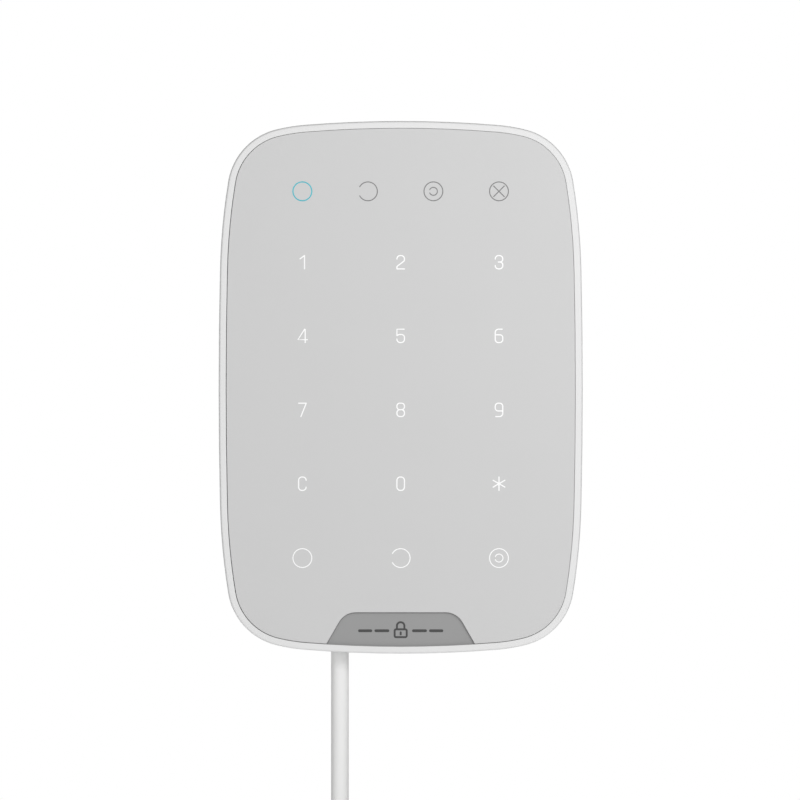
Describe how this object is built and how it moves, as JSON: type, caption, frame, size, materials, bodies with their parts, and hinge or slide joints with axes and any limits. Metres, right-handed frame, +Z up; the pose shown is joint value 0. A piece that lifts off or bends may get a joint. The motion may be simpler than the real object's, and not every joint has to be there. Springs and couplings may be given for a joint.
{
  "type": "alarm keypad panel",
  "caption": "Slim upright touch keypad for a wired intruder alarm, with a lit key field, on a wall bracket that it slides up from, with its bus cable and coil.",
  "frame": {"origin": "centre of the wall bracket's back face, on the wall plane", "axes": "+Y into the wall, so the keys face -Y; +Z up; +X to the right of a person facing the keys"},
  "size_m": [0.1031, 0.0222, 0.2676],
  "materials": {
    "white_abs": "fine satin moulded plastic",
    "bracket_abs": "matte moulded plastic",
    "panel_grey": "smooth printed polycarbonate",
    "badge_grey": "satin grey plastic",
    "light_guide_acrylic": "translucent moulded acrylic",
    "board_green": "solder-masked fibreglass",
    "chip_black": "moulded epoxy and black plastic",
    "screw_steel": "zinc-plated steel",
    "ferrite_grey": "pressed ferrite",
    "terminal_green": "moulded polyamide",
    "cable_pvc_white": "extruded flexible PVC",
    "tie_nylon": "natural nylon",
    "lamp_lens": "clear epoxy over a phosphor",
    "core_red": "PVC insulation",
    "core_black": "PVC insulation",
    "core_yellow": "PVC insulation",
    "core_green": "PVC insulation"
  },
  "bodies": {
    "wall_side": {"mounting_bracket": "bracket_abs"},
    "lock_screw": {"retaining_screw": "screw_steel"},
    "keypad_case": {"front_frame": "white_abs", "rear_housing": "white_abs", "touch_panel": "panel_grey", "badge_plate": "badge_grey", "light_guide": "light_guide_acrylic", "main_board": "board_green", "main_controller": "chip_black", "touch_controller": "chip_black", "bus_transceiver": "chip_black", "surge_suppressor": "chip_black", "sounder": "chip_black", "tamper_switch": "chip_black", "input_capacitor": "screw_steel", "tamper_spring": "screw_steel", "case_screw_1": "screw_steel", "case_screw_2": "screw_steel", "case_screw_3": "screw_steel", "case_screw_4": "screw_steel", "clamp_screw_1": "screw_steel", "clamp_screw_2": "screw_steel", "clamp_screw_3": "screw_steel", "clamp_screw_4": "screw_steel", "power_inductor": "ferrite_grey", "terminal_block": "terminal_green", "status_led_1": "lamp_lens", "status_led_2": "lamp_lens", "status_led_3": "lamp_lens", "status_led_4": "lamp_lens", "backlight_led_1": "lamp_lens", "backlight_led_2": "lamp_lens", "backlight_led_3": "lamp_lens", "backlight_led_4": "lamp_lens", "backlight_led_5": "lamp_lens", "backlight_led_6": "lamp_lens", "cable_tail": "cable_pvc_white", "cable_drop": "cable_pvc_white", "cable_coil": "cable_pvc_white", "cable_end": "cable_pvc_white", "cable_tie": "tie_nylon", "coil_tie": "tie_nylon", "core_red": "core_red", "far_core_red": "core_red", "core_black": "core_black", "far_core_black": "core_black", "core_yellow": "core_yellow", "far_core_yellow": "core_yellow", "core_green": "core_green", "far_core_green": "core_green"},
    "tamper_slider": {"tamper_plunger": "white_abs"}
  },
  "joints": [
    {"name": "case_slide", "type": "slide", "parent": "wall_side", "child": "keypad_case", "axis": [0, 0, 1], "range_m": [0, 0.0065]},
    {"name": "tamper_travel", "type": "slide", "parent": "keypad_case", "child": "tamper_slider", "axis": [0, 1, 0], "range_m": [0, 0.001], "stiffness_N_per_m": 60, "springref_m": 0.003, "deforming": ["tamper_spring"]},
    {"name": "retaining_screw_travel", "type": "slide", "parent": "wall_side", "child": "lock_screw", "axis": [0, 0, -1], "range_m": [0, 0.007]}
  ],
  "couplings": [
    {"joint": "tamper_travel", "follows": "case_slide", "ratio": 0.15}
  ]
}
